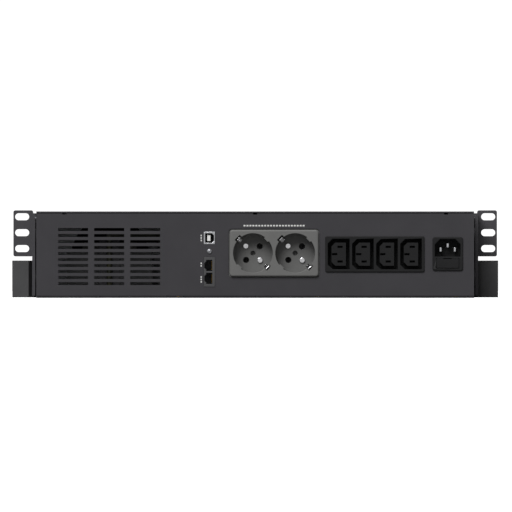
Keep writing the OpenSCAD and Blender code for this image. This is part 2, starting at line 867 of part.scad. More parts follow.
module heatsink() {
    translate([-sink_l / 2, -2, 0]) cube([sink_l, 4, sink_h]);
    for (i = [0 : 10])
        translate([-sink_l / 2 + i * (sink_l - 1.6) / 10, 2 - 0.2, 0]) cube([1.6, 22, sink_h]);
}

module heatsinks() {
    color("#a8abad") for (x = sink_x) translate([x, sink_y, pcb_top]) heatsink();
}

module power_transistors() {
    color("#18181a") for (x = sink_x, i = [-1.5 : 1 : 1.5]) translate([x + i * 20, sink_y - 2, pcb_top]) {
        translate([-5, -4.6, 14]) cube([10, 4.6, 15]);
        for (leg = [-1, 0, 1]) translate([leg * 2.5 - 0.4, -2.5, 0]) cube([0.8, 0.6, 14.5]);
    }
}

module bulk_capacitors() {
    color("#22304a") for (i = [0 : 5])
        translate([pcb_left + 20 + i * 24, pcb_front + 20, pcb_top]) cylinder(d = 18, h = 36);
}

module relays() {
    color("#1c1d22") for (i = [0 : 4])
        translate([pcb_right - 43.5, pcb_front + 6 + i * 24, pcb_top]) cube([19, 16, 15]);
}

module line_chokes() {
    color("#a36a2c") for (i = [0, 1]) translate([pcb_right - 76, pcb_front + 26 + i * 44, pcb_top + 17])
        rotate([0, 90, 0]) rotate_extrude() translate([11, 0]) circle(5.8);
}

module control_board() {
    color("#1f5a34")
        translate([pcb_right - 8, pcb_front + 14, pcb_top]) cube([board_t, 96, 46]);
}

// ---- Fan ----

module fan_frame() {
    bore = fan_size - 4;
    color("#161617") translate([fan_x, fan_y, fan_z]) rotate([-90, 0, 0]) difference() {
        union() {
            linear_extrude(fan_t) difference() {
                rounded(fan_size, fan_size, 4);
                circle(d = bore);
                for (x = [-1, 1], y = [-1, 1]) translate([x, y] * (fan_size / 2 - 4.2)) circle(d = 4.4);
            }
            linear_extrude(3) {
                circle(d = 34);
                for (a = [45 : 90 : 315])
                    rotate(a) translate([bore / 4, 0]) square([bore / 2 + 1, 4], center = true);
            }
        }
        translate([0, 0, 1]) cylinder(d = 5.2, h = 10);
    }
}

module fan_rotor() {
    tip = fan_size / 2 - 2 - fan_gap;
    color("#222225") translate([fan_x, fan_y, fan_z]) rotate([-90, 0, 0]) {
        translate([0, 0, 1.4]) cylinder(d = 5, h = 4);
        translate([0, 0, 3.6]) cylinder(d = 32, h = fan_t - 5);
        intersection() {
            translate([0, 0, 3.6]) cylinder(r = tip, h = fan_t - 5);
            for (i = [0 : fan_blades - 1]) rotate(i * 360 / fan_blades)
                translate([15, 0, fan_t / 2 + 1]) rotate([38, 0, 0])
                    translate([0, -13, -0.8]) cube([tip, 26, 1.6]);
        }
    }
}

module fan_bracket() {
    y = fan_y + fan_t + clr;
    left = pcb_right + 5;
    right = lip_in - 0.6;
    color("#8f9194") xz(y, sheet_t) difference() {
        translate([left, floor_z + clr]) square([right - left, roof_z - floor_z - 2 * clr]);
        translate([fan_x, fan_z]) circle(d = fan_size - 4);
        for (x = [-1, 1], z = [-1, 1])
            translate([fan_x + x * (fan_size / 2 - 4.2), fan_z + z * (fan_size / 2 - 4.2)]) circle(d = 4.4);
    }
}

// ---- Rear outlets ----

// One round outlet's floor details, drawn with its pins along X and turned into place
module at_outlets() {
    for (side = [-1, 1])
        translate([schuko_x + side * recess_pitch / 2, schuko_z]) rotate(schuko_turn) children();
}

module at_pins() {
    at_outlets() for (side = [-1, 1]) translate([side * pin_pitch / 2, 0]) children();
}

module at_screws() {
    at_outlets() for (side = [-1, 1]) translate([0, side * screw_r]) children();
}

module outlet_outline() {
    difference() {
        circle(d = recess_d);
        for (side = [-1, 1]) translate([side * (recess_d / 2 + 0.2), 0]) square([3.4, 5.4], center = true);
    }
    for (side = [-1, 1]) translate([0, side * recess_d / 2]) square([7, 4.6], center = true);
}

clip_w = 4;
clip_t = 0.8;
screw_r = 9.9;
contact_sunk = 6;

module schuko_block() {
    flange_back = y_panel - clr - schuko_flange_t;
    color("#575756") difference() {
        union() {
            xz(flange_back, y_rear + plate_proud - flange_back) translate([schuko_x, schuko_z])
                rounded(schuko_w, schuko_h, schuko_r);
            xz(flange_back, schuko_flange_t) translate([schuko_x, schuko_z])
                square([schuko_w + 7, schuko_h + 7], center = true);
            xz(schuko_back, flange_back - schuko_back + eps) translate([schuko_x, schuko_z])
                square([schuko_w - 4, schuko_h - 4], center = true);
        }
        xz(recess_floor, recess_deep + eps) at_outlets() outlet_outline();
        xz(schuko_back + 3, recess_floor - schuko_back) at_pins() circle(d = pin_hole_d);
        xz(recess_floor - 5, 6) at_outlets() circle(d = 4.9);
        xz(recess_floor - 8, 9) at_screws() circle(d = 3 + 2 * clr);
    }
}

// Side view of an earth clip: radius along X, depth along Y, bent in towards the plug
module clip_strip() {
    reach = recess_d / 2;
    bends = [[reach + 1.5, 0], [reach + 1.1, 5], [reach - 2.8, 10.5], [reach + 0.6, 15]];
    polygon(concat(
        [for (p = bends) p + [clip_t / 2, 0]],
        [for (i = [len(bends) - 1 : -1 : 0]) bends[i] - [clip_t / 2, 0]]
    ));
}

module schuko_earth_clips() {
    color("#d6d7d8") for (outlet = [-1, 1], end = [0, 180])
        translate([schuko_x + outlet * recess_pitch / 2, recess_floor + clr, schuko_z])
            rotate([0, schuko_turn + end, 0])
                translate([0, 0, -clip_w / 2]) linear_extrude(clip_w) clip_strip();
}

module schuko_contacts() {
    color("#c9cacc") xz(schuko_back + 4, recess_floor - schuko_back - 4 - contact_sunk)
        at_pins() difference() {
            circle(d = pin_hole_d - 2 * clr);
            circle(d = 4.6);
        }
}

module schuko_screws() {
    color("#e4e4e4") {
        xz(recess_floor + 0.02, 1.6) at_screws() circle(d = 5.3);
        xz(recess_floor - 6, 6.5) at_screws() circle(d = 3);
    }
}

// Centres of the shrouded outlets
c13_centres = [for (i = [0 : c13_count - 1]) c13_x + (i - (c13_count - 1) / 2) * c13_pitch];

module c13_slots(grow) {
    for (p = [[-1.3, -c13_line], [4, 0], [-1.3, c13_line]])
        translate(p) square([c13_slot[0] + grow, c13_slot[1] + grow], center = true);
}

module c13_block() {
    floor_y = c13_face - c13_deep;
    color("#232325") difference() {
        union() {
            xz(y_rear, flush_proud) translate([c13_x, c13_z]) rounded(c13_plate_w, c13_plate_h, 1.5);
            xz(c13_back, y_rear - c13_back + eps) translate([c13_x, c13_z])
                square([c13_plate_w - 3, c13_plate_h - 3], center = true);
        }
        for (x = c13_centres) {
            xz(floor_y, c13_deep + eps) translate([x, c13_z]) difference() {
                keyed(c13_w, c13_h, 4.6);
                keyed(c13_core_w, c13_core_h, 3.6);
            }
            xz(c13_back + 2, c13_face - c13_back) translate([x, c13_z]) c13_slots(0);
            xz(c13_face - 1.5, 3) translate([x, c13_z]) keyed(c13_core_w + 2, c13_core_h + 2, 3.6);
        }
    }
}

module c13_contacts() {
    color("#b9babc") xz(c13_back + 2.5, 9.5) for (x = c13_centres) translate([x, c13_z]) difference() {
        c13_slots(-2 * clr);
        for (side = [-1, 1]) translate([-1.3, side * c13_line]) square([4, 1], center = true);
        translate([4, 0]) square([4, 1], center = true);
    }
}

// ---- Mains inlet ----

inlet_blades = [[0, 2.5], [7, -1.6], [-7, -1.6]];

module inlet_body() {
    face = y_rear + flush_proud;
    color("#232325") difference() {
        union() {
            xz(y_rear, flush_proud) translate([inlet_x, inlet_z]) rounded(inlet_w, inlet_h, 2.5);
            xz(inlet_back, y_rear - inlet_back + eps)
                translate([inlet_x, inlet_z]) square([inlet_w - 3, inlet_h - 3], center = true);
        }
        xz(face - inlet_deep, inlet_deep + eps)
            translate([inlet_x, inlet_recess_z]) rotate(90) keyed(inlet_recess_h, inlet_recess_w, 5);
        xz(face - fuse_deep - 1, fuse_deep + 2) translate([inlet_x, fuse_z])
            square([fuse_w + 2 * fuse_gap, fuse_h + 2 * fuse_gap], center = true);
        xz(inlet_back - eps, inlet_deep + 40) translate([inlet_x, inlet_recess_z])
            for (p = inlet_blades) translate(p) square([2 + 2 * clr, 4 + 2 * clr], center = true);
    }
}

module inlet_pins() {
    color("#d8d9da") xz(inlet_back - 4, y_rear - inlet_back + 2) translate([inlet_x, inlet_recess_z])
        for (p = inlet_blades) translate(p) square([2, 4], center = true);
}

module fuse_drawer() {
    face = y_rear + flush_proud;
    color("#262628") difference() {
        xz(face - fuse_deep, fuse_deep + 0.4) translate([inlet_x, fuse_z]) rounded(fuse_w, fuse_h, 0.8);
        xz(face - fuse_deep + 2, 21) translate([inlet_x + 3, fuse_z + 2]) square([7, fuse_h], center = true);
        xz(face - 1.2, 2) translate([inlet_x, fuse_z + fuse_h / 2]) square([8, 2.4], center = true);
    }
}

module fuse() {
    face = y_rear + flush_proud;
    color("#c6c8ca") rod_y(inlet_x + 3, face - fuse_deep + 2.5, fuse_z, 5, 20);
}

module mains_wiring() {
    start = inlet_back - 4;
    drop = pcb_back - 8;
    color("#7a4a2a") for (i = [0 : 2]) {
        p = [inlet_x + inlet_blades[i][0], start, inlet_recess_z + inlet_blades[i][1]];
        wire([p, [p[0], start - 8 - 2 * i, p[2]], [p[0], drop, p[2] - 6], [p[0], drop, pcb_top]], 3);
    }
}

// ---- Signal ports ----

module usb_opening() {
    translate([-0.2, -0.1]) rotate(180) keyed(port_w - 2.5, usb_h - 3.1, 2);
}

module usb_shell() {
    color("#c9cacd") xz(y_rear - 16, 16.6) translate([port_x, usb_z]) difference() {
        square([port_w, usb_h], center = true);
        usb_opening();
    }
    color("#c9cacd") xz(y_rear - 17, 1) translate([port_x, usb_z]) square([port_w, usb_h], center = true);
}

module usb_tongue() {
    color("#d8d8d8") xz(y_rear - 16 + 0.02, 14.5)
        translate([port_x + 0.5, usb_z]) square([3.3, 6], center = true);
}

jack_pitch = 12.7;

module jack_opening() {
    translate([0.1, 0]) {
        square([5.9, 10.9], center = true);
        translate([3.45, 0]) square([2.7, 5.3], center = true);
        translate([3.2, 0]) square([1.4, 7.4], center = true);
    }
}

module surge_jack_body() {
    color("#3d3d3f") difference() {
        xz(y_rear - 20, 20.4) translate([port_x, jack_z]) square([port_w, jack_h], center = true);
        for (side = [-1, 1]) xz(y_rear - 16, 18)
            translate([port_x, jack_z + side * jack_pitch / 2]) jack_opening();
    }
}

module surge_jack_contacts() {
    color("#c8a84b") for (side = [-1, 1], i = [-3 : 3])
        translate([port_x - 2.45, y_rear - 13.5, jack_z + side * jack_pitch / 2 + i * 1.27])
            cube([0.5, 5, 0.5], center = true);
}

module comms_board() {
    left = port_x + port_w / 2 + clr;
    color("#1f5a34") block([left, pcb_back + 2, 10], [left + board_t, y_panel - 3, 68]);
}

module comms_screw() {
    color("#b4b5b8") difference() {
        union() {
            rod_y(port_x, y_panel - 6, port_screw_z, 3, 6 + sheet_t + 0.5);
            intersection() {
                rod_y(port_x, y_rear, port_screw_z, 4.9, 2);
                translate([port_x, y_rear - 1.7, port_screw_z]) sphere(d = 6.6);
            }
        }
        for (a = [45, 135]) translate([port_x, y_rear + 1.7, port_screw_z]) rotate([0, a, 0])
            cube([3.2, 2.4, 0.9], center = true);
    }
}

chassis_tray();
top_cover();
rear_panel();
front_plate();
bay_divider();
ear_bracket_left();
ear_bracket_right();
ear_screws();
cover_screws();
front_bezel();
bezel_screws();
display_window();
lcd_panel();
display_board();
power_button();
select_button();
mute_button();
drawer_front();
drawer_tray();
battery_left();
battery_right();
battery_terminals();
battery_leads();
drawer_connector();
bay_connector();
thumbscrew_left();
thumbscrew_right();
transformer_core();
transformer_coil();
transformer_bracket();
transformer_leads();
main_board();
board_standoffs();
heatsinks();
power_transistors();
bulk_capacitors();
relays();
line_chokes();
control_board();
fan_frame();
fan_rotor();
fan_bracket();
mains_wiring();
c13_block();
c13_contacts();
schuko_block();
schuko_earth_clips();
schuko_contacts();
schuko_screws();
inlet_body();
inlet_pins();
fuse_drawer();
fuse();
usb_shell();
usb_tongue();
surge_jack_body();
surge_jack_contacts();
comms_board();
comms_screw();
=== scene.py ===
# %% [markdown]
# # A rackmount power supply, finished piece by piece
# The steel chassis, its outlets and everything that moves were designed as solids first, so
# they already have their true sizes. This lesson loads those solids as a fixed frame and gives
# each one the finish of the real piece: powder coat, moulded nylon, nickel plate, circuit board.
# Nothing here moves or resizes a solid. Where a piece needs softer edges or finer detail, a new
# mesh stands in for it and rides on the same body.

# %% Load the frame
import json
import math
import bmesh
import bpy
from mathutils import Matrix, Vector


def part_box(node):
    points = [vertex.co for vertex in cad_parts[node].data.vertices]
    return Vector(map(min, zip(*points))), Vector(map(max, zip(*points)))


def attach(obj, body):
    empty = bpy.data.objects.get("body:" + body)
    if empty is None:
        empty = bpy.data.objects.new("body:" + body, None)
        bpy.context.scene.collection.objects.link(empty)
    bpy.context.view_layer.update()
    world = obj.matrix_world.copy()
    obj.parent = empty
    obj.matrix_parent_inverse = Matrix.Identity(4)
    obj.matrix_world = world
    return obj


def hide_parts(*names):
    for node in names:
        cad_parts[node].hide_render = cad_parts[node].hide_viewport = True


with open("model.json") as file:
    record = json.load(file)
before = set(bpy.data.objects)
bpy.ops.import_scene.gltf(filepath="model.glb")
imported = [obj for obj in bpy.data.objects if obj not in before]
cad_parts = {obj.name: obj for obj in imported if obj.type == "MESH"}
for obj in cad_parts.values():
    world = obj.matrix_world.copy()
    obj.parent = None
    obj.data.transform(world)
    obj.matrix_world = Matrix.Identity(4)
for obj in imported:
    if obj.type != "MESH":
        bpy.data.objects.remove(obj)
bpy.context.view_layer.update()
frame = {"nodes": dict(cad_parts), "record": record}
scene = bpy.context.scene
MM = 0.001
body_of = {node: body for body, nodes in frame["record"]["behaviour"]["bodies"].items() for node in nodes}

# %% [markdown]
# ## Colours and shader nodes
# Paint colours are easiest to read as hex codes, but shaders work in linear light, so one
# function turns a code into linear numbers. A second small function adds a node, sets it up and
# wires it, which keeps every material below down to a few lines.

# %% Helpers for materials
def linear(code, alpha=1.0):
    """A hex sRGB colour as the linear numbers that shaders use."""
    parts = [int(code[i:i + 2], 16) / 255 for i in (1, 3, 5)]
    return tuple(c / 12.92 if c <= 0.04045 else ((c + 0.055) / 1.055) ** 2.4 for c in parts) + (alpha,)


def add(tree, kind, settings=None, **inputs):
    """Adds a node; an input is given as a value or as the socket that feeds it."""
    node = tree.nodes.new(kind)
    for key, value in (settings or {}).items():
        setattr(node, key, value)
    for key, value in inputs.items():
        socket = node.inputs[int(key[1:]) if key[1:].isdigit() else key.replace("_", " ")]
        if isinstance(value, bpy.types.NodeSocket):
            tree.links.new(value, socket)
        else:
            socket.default_value = value
    return node


def new_material(name, **shader_inputs):
    """A material with one Principled shader and Object coordinates."""
    material = bpy.data.materials.new(name)
    material.use_nodes = True
    tree = material.node_tree
    tree.nodes.clear()
    shader = add(tree, "ShaderNodeBsdfPrincipled", **shader_inputs)
    add(tree, "ShaderNodeOutputMaterial", Surface=shader.outputs["BSDF"])
    place = add(tree, "ShaderNodeTexCoord").outputs["Object"]
    return material, tree, shader, place


def per_metre(size_mm):
    """The texture scale at which one feature of a pattern measures size_mm."""
    return 1 / (size_mm * MM)


def vary(tree, shader, fac, low, high, socket="Base Color"):
    """Feeds a socket from a colour ramp between two colours, or between two grey levels."""
    ramp = add(tree, "ShaderNodeValToRGB", _0=fac)
    ends = [linear(c) if isinstance(c, str) else (c, c, c, 1) for c in (low, high)]
    ramp.color_ramp.elements[0].position, ramp.color_ramp.elements[1].position = 0.3, 0.7
    ramp.color_ramp.elements[0].color, ramp.color_ramp.elements[1].color = ends
    tree.links.new(ramp.outputs["Color"], shader.inputs[socket])
    return ramp


def grain(tree, shader, place, size_mm, height_mm, detail=2.0):
    """A fine raised grain: noise whose features measure size_mm, as bump."""
    noise = add(tree, "ShaderNodeTexNoise", Vector=place, Scale=per_metre(size_mm), Detail=detail)
    bump = add(tree, "ShaderNodeBump", Distance=height_mm * MM, Height=noise.outputs["Fac"])
    tree.links.new(bump.outputs["Normal"], shader.inputs["Normal"])
    return noise

# %% [markdown]
# ## Paints and plastics
# Powder coat is baked polyester: dark, with a fine orange-peel that breaks highlights up. The
# plastics differ mostly in gloss and in the spark-eroded grain of their moulds. Real grain is
# about 0.2 mm, too fine to show, so each one is drawn one or two millimetres coarse.

# %% Materials for painted steel and plastic
DRIFT_MM = 25


def coated(name, low, high, rough_low, rough_high, size_mm, height_mm, level=0.3):
    """Paint or moulded plastic: a slow drift of colour and gloss over a fine grain."""
    material, tree, shader, place = new_material(name, Specular_IOR_Level=level)
    grain(tree, shader, place, size_mm, height_mm)
    drift = add(tree, "ShaderNodeTexNoise", Vector=place, Scale=per_metre(DRIFT_MM), Detail=3.0)
    vary(tree, shader, drift.outputs["Fac"], low, high)
    vary(tree, shader, drift.outputs["Fac"], rough_low, rough_high, "Roughness")
    return material


powder_coat = coated("powder_coated_steel", "#39383b", "#3c3b3e", 0.55, 0.62, 1.6, 0.03, 0.2)
panel_coat = coated("powder_coated_panel", "#302f32", "#333235", 0.55, 0.62, 1.6, 0.03, 0.2)
cover_coat = coated("powder_coated_cover", "#353437", "#373639", 0.54, 0.57, 1.6, 0.03)
bezel_abs = coated("textured_abs", "#39393a", "#3d3d3e", 0.5, 0.6, 1.2, 0.04)
door_abs = coated("textured_abs_door", "#2b2b2d", "#2f2f31", 0.5, 0.6, 1.2, 0.04)
button_abs = coated("satin_abs", "#1a1a1c", "#1e1e20", 0.32, 0.4, 1.0, 0.01)
outlet_nylon = coated("black_glass_filled_nylon", "#131314", "#171718", 0.5, 0.6, 1.0, 0.02, 0.15)
socket_pc = coated("grey_polycarbonate", "#5a5a59", "#5e5e5d", 0.45, 0.52, 1.4, 0.015, 0.25)
jack_pbt = coated("grey_pbt", "#3b3b3c", "#3f3f40", 0.45, 0.55, 1.0, 0.015)
print_ink = coated("pad_printed_ink", "#b4b4b2", "#bebebc", 0.5, 0.6, 1.0, 0.005)
segment_ink = coated("lcd_segments", "#1c241d", "#222a23", 0.4, 0.5, 1.0, 0.005)
chip_ceramic = coated("chip_ceramic", "#6a5f4e", "#2a2a2b", 0.35, 0.5, 2.0, 0.01)
tongue_nylon = coated("white_nylon", "#c8c8c6", "#d2d2d0", 0.4, 0.5, 1.0, 0.01)
fan_pbt = coated("black_pbt", "#0a0a0b", "#0e0e0f", 0.5, 0.6, 1.0, 0.02, 0.2)
epoxy = coated("black_epoxy", "#101011", "#151516", 0.35, 0.45, 1.0, 0.02)
battery_abs = coated("battery_abs", "#34363a", "#3a3c40", 0.45, 0.55, 1.5, 0.03)
connector_nylon = coated("yellow_nylon", "#97812a", "#a38c30", 0.4, 0.5, 1.0, 0.01)
sleeve_pvc = coated("blue_shrink_sleeve", "#16243f", "#1a2948", 0.22, 0.3, 4.0, 0.01)
lead_pvc = coated("red_pvc", "#7c1512", "#8a1a16", 0.35, 0.42, 2.0, 0.01)
harness_pvc = coated("brown_pvc", "#4a2c18", "#54331d", 0.35, 0.42, 2.0, 0.01)
print("paints and plastics:", len(bpy.data.materials))

# %% [markdown]
# ## Metals
# Plated metal is nearly all reflection. What tells one plating from another is its tint and how
# sharp the reflection is, so each has a base colour, a roughness range and a faint directional
# scratch: noise stretched along one axis.

# %% Materials for metals
def plated(name, low, high, rough_low, rough_high, size_mm=1.5, stretch=(1, 1, 1), height_mm=0.01):
    """Bare or plated metal: tint and gloss drift together over a fine, often stretched, grain."""
    material, tree, shader, place = new_material(name, Metallic=1.0)
    turned = add(tree, "ShaderNodeMapping", Vector=place, Scale=stretch).outputs["Vector"]
    noise = grain(tree, shader, turned, size_mm, height_mm, 3.0)
    vary(tree, shader, noise.outputs["Fac"], low, high)
    vary(tree, shader, noise.outputs["Fac"], rough_low, rough_high, "Roughness")
    return material


zinc_sheet = plated("zinc_plated_sheet", "#8f9194", "#a3a5a8", 0.34, 0.46, 6.0)
zinc_screw = plated("zinc_plated_screw", "#8a8b8e", "#9b9ca0", 0.28, 0.38)
black_screw = plated("black_oxide_screw", "#3a3a3c", "#464648", 0.35, 0.45)
nickel = plated("nickel_plate", "#e4e4e6", "#f2f2f4", 0.16, 0.24)
tinned = plated("tinned_brass", "#c4c5c8", "#d6d7da", 0.22, 0.32)
gold_flash = plated("gold_flash", "#b98f3d", "#cfa550", 0.2, 0.3)
brass = plated("turned_brass", "#b08a45", "#c29b52", 0.26, 0.36)
aluminium = plated("extruded_aluminium", "#9fa2a6", "#b0b3b7", 0.32, 0.42, 1.2, (1, 1, 0.1))
# a darker copy of the tinned metal: painted shade for faces deep inside ports and slots
painted_shade_tin = plated("tinned_steel_painted_shade", "#2c2c2d", "#363637", 0.4, 0.5)
shell_steel = plated("tinned_steel_shell", "#b9babd", "#c9cacd", 0.25, 0.34, 1.2, (1, 0.15, 1))

# %% [markdown]
# ## Circuit board, windings, laminations and glass
# These finishes have a structure of their own. A circuit board shows copper tracks as a slightly
# lighter green under its mask. A core is a stack of thin sheets, so its sides are lined. Windings
# are rows of round wire. The display window is smoked acrylic, and the fuse is clear glass.

# %% Materials with a structure
def board_mask():
    """Green solder mask over copper tracks, drawn as a grid of cells with thin gaps."""
    material, tree, shader, place = new_material("green_solder_mask", Roughness=0.3)
    cells = add(tree, "ShaderNodeTexVoronoi", {"distance": "CHEBYCHEV", "feature": "F1"},
                Vector=place, Scale=per_metre(5))
    vary(tree, shader, cells.outputs["Distance"], "#123f23", "#1c5a33")
    bump = add(tree, "ShaderNodeBump", Distance=0.03 * MM, Height=cells.outputs["Distance"])
    tree.links.new(bump.outputs["Normal"], shader.inputs["Normal"])
    return material


def banded(name, low, high, pitch_mm, axis, height_mm, **inputs):
    """Parallel bands at a given pitch, for a stack of sheets or a layer of wire."""
    material, tree, shader, place = new_material(name, **inputs)
    # one wave texture at scale 1 has about 20 / (2 pi) bands in a unit
    bands = add(tree, "ShaderNodeTexWave", {"bands_direction": axis}, Vector=place,
                Scale=per_metre(pitch_mm) * math.tau / 20, Distortion=0.0)
    vary(tree, shader, bands.outputs["Fac"], low, high)
    bump = add(tree, "ShaderNodeBump", Distance=height_mm * MM, Height=bands.outputs["Fac"])
    tree.links.new(bump.outputs["Normal"], shader.inputs["Normal"])
    return material


solder_mask = board_mask()
# the core, its tape and its earth lead sit deep behind the vents, so their colours are darkened past their
# own: painted shade. The core's dark varnish is partly its own colour.
laminations = banded("laminations_varnish_and_painted_shade", "#1c1c1d", "#262627", 1.0, "Z", 0.1,
                     Metallic=0.3, Roughness=0.5)
coil_tape_painted_shade = banded("polyester_tape_painted_shade", "#1d1c10", "#262516", 8.0, "Z", 0.1, Roughness=0.45)
earth_lead_painted_shade = banded("earth_lead_pvc_painted_shade", "#1b1d0c", "#2c2b12", 9.0, "Z", 0.0, Roughness=0.45)
enamel = banded("enamelled_copper", "#7d4a1e", "#a5652c", 1.2, "Y", 0.2, Metallic=0.8, Roughness=0.3)

smoked, smoked_tree, smoked_shader, smoked_place = new_material(
    "smoked_acrylic", Base_Color=linear("#5a5d60"), Transmission_Weight=0.85, IOR=1.49)
vary(smoked_tree, smoked_shader, add(smoked_tree, "ShaderNodeTexNoise", Vector=smoked_place,
     Scale=per_metre(30)).outputs["Fac"], 0.05, 0.09, "Roughness")
lcd, lcd_tree, lcd_shader, lcd_place = new_material("lcd_polariser", Roughness=0.25)
vary(lcd_tree, lcd_shader, add(lcd_tree, "ShaderNodeTexNoise", Vector=lcd_place,
     Scale=per_metre(40)).outputs["Fac"], "#7c8f7d", "#879a88")
fuse_glass, glass_tree, glass_shader, glass_place = new_material(
    "clear_soda_glass", Transmission_Weight=0.9, IOR=1.5)
vary(glass_tree, glass_shader, add(glass_tree, "ShaderNodeTexNoise", Vector=glass_place,
     Scale=per_metre(3)).outputs["Fac"], 0.04, 0.08, "Roughness")
print("materials:", len(bpy.data.materials))

# %% [markdown]
# ## Softened edges
# No folded sheet or moulding has a perfectly sharp edge, and the thin highlight along a rounded
# one is what makes it read as real. A solid's mesh must stay as it is, so a copy is merged, its
# flat faces are joined, and a Bevel modifier rounds what is left. The copy then stands for it.

# %% Softened copies of solids
def stand_in(piece, node, material=None):
    """Lets a new piece replace a solid and ride on that solid's body."""
    if material:
        piece.data.materials.clear()
        piece.data.materials.append(material)
    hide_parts(node)
    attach(piece, body_of[node])
    return piece


def outer_rim(work, margin):
    """The edges round the outside of a solid's rearmost face."""
    back = max(v.co.y for v in work.verts)
    face = [v.co for v in work.verts if back - v.co.y < 0.01 * MM]
    sides = [(pick(co[axis] for co in face), axis) for axis in (0, 2) for pick in (min, max)]
    corner = [v for v in work.verts if back - v.co.y < 0.01 * MM
              and any(abs(v.co[axis] - side) < margin for side, axis in sides)]
    return [e for e in work.edges if all(v in corner for v in e.verts)]


def clean_copy(node, rim_mm=0):
    """A merged copy of a solid's mesh with its flat faces joined; a rim is rounded if it's asked for."""
    mesh = frame["nodes"][node].data.copy()
    work = bmesh.new()
    work.from_mesh(mesh)
    bmesh.ops.remove_doubles(work, verts=work.verts, dist=0.002 * MM)
    bmesh.ops.dissolve_limit(work, angle_limit=math.radians(0.4), verts=work.verts, edges=work.edges)
    if rim_mm:
        bmesh.ops.bevel(work, geom=outer_rim(work, 3 * MM), offset=rim_mm * MM, segments=4, profile=0.5,
                        affect="EDGES")
    work.to_mesh(mesh)
    work.free()
    if "custom_normal" in mesh.attributes:
        mesh.attributes.remove(mesh.attributes["custom_normal"])
    mesh.shade_smooth()
    return mesh


# plates that stand on the rear panel are rounded more round their outer rim, in millimetres
rim_radius = {"schuko_block": 1.7, "c13_block": 0.7, "inlet_body": 0.7}


def soften(node, material, radius_mm, segments=2):
    """A solid with its sharp edges rounded off."""
    piece = bpy.data.objects.new(node + "_finished", clean_copy(node, rim_radius.get(node, 0)))
    scene.collection.objects.link(piece)
    bevel = piece.modifiers.new("edges", "BEVEL")
    bevel.width, bevel.segments = radius_mm * MM, segments
    bevel.limit_method, bevel.angle_limit = "ANGLE", math.radians(38)
    # the large flat faces keep their own normals, so only the rounding shades from one to the next
    piece.modifiers.new("flat faces", "WEIGHTED_NORMAL").weight = 100
    return stand_in(piece, node, material)


softened = {
    "chassis_tray": (powder_coat, 0.35), "top_cover": (cover_coat, 0.4), "rear_panel": (panel_coat, 0.3),
    "front_plate": (powder_coat, 0.3), "ear_bracket_left": (powder_coat, 0.6),
    "ear_bracket_right": (powder_coat, 0.6), "front_bezel": (bezel_abs, 0.9), "drawer_front": (door_abs, 0.8),
    "schuko_block": (socket_pc, 0.5), "c13_block": (outlet_nylon, 0.4), "inlet_body": (outlet_nylon, 0.4),
    "fuse_drawer": (outlet_nylon, 0.3), "usb_shell": (shell_steel, 0.3), "usb_tongue": (tongue_nylon, 0.25),
    "surge_jack_body": (jack_pbt, 0.25), "display_window": (smoked, 0.4), "power_button": (button_abs, 0.7),
    "select_button": (button_abs, 0.6), "mute_button": (button_abs, 0.6), "battery_left": (battery_abs, 1.2),
    "battery_right": (battery_abs, 1.2), "drawer_tray": (zinc_sheet, 0.3), "bay_divider": (zinc_sheet, 0.3),
    "fan_bracket": (zinc_sheet, 0.3), "transformer_bracket": (powder_coat, 0.4), "lcd_panel": (lcd, 0.3),
    "inlet_pins": (tinned, 0.3), "schuko_earth_clips": (nickel, 0.3), "schuko_screws": (nickel, 0.5),
    "relays": (epoxy, 0.6), "drawer_connector": (connector_nylon, 0.4),
    "bay_connector": (connector_nylon, 0.4),
    "comms_screw": (zinc_screw, 0.2), "ear_screws": (black_screw, 0.2), "cover_screws": (black_screw, 0.2),
    "thumbscrew_left": (zinc_screw, 0.4), "thumbscrew_right": (zinc_screw, 0.4), "fan_frame": (fan_pbt, 0.4),
}
finished = {node: soften(node, material, radius) for node, (material, radius) in softened.items()}
print("softened:", len(finished))

# %% [markdown]
# The square port's shell is bright only where it faces the user. Inside it is in deep shade, so the
# faces behind its front ring take a darker copy of its metal: painted shade.

# %% The inside of the square port
shell = finished["usb_shell"].data
shell.materials.append(painted_shade_tin)
mouth_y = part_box("usb_shell")[1].y
for face in shell.polygons:
    face.material_index = 1 if face.center.y < mouth_y - 1.0 * MM else 0
print("shaded faces:", sum(face.material_index for face in shell.polygons))

# %% [markdown]
# ## Pieces that keep their solid
# Small inner pieces already have the right shape, so each solid stays and only takes a finish.

# %% Finishes on solids
finishes = {
    "bezel_screws": zinc_screw, "display_board": solder_mask, "battery_terminals": tinned,
    "battery_leads": lead_pvc, "transformer_core": laminations, "transformer_coil": coil_tape_painted_shade,
    "transformer_leads": earth_lead_painted_shade, "main_board": solder_mask, "board_standoffs": brass,
    "heatsinks": aluminium, "power_transistors": epoxy, "bulk_capacitors": sleeve_pvc,
    "line_chokes": enamel, "control_board": solder_mask, "fan_rotor": fan_pbt,
    # the outlets' contacts sit deep in their slots and take the darker tin: painted shade
    "mains_wiring": harness_pvc, "c13_contacts": painted_shade_tin, "schuko_contacts": painted_shade_tin,
    "fuse": fuse_glass,
    "surge_jack_contacts": gold_flash, "comms_board": solder_mask,
}
for node, material in finishes.items():
    mesh = frame["nodes"][node].data
    mesh.materials.clear()
    mesh.materials.append(material)
print("kept as solids:", len(finishes))

# %% [markdown]
# ## Details that repeat
# Printed marks, knurls, lid ribs, display segments and chip parts are all one small block, set out
# by a rule. They could be placed by a loop, but a Geometry Nodes tree keeps the rule in one place:
# change a named input and the whole row follows. Each result becomes a plain mesh on its body.

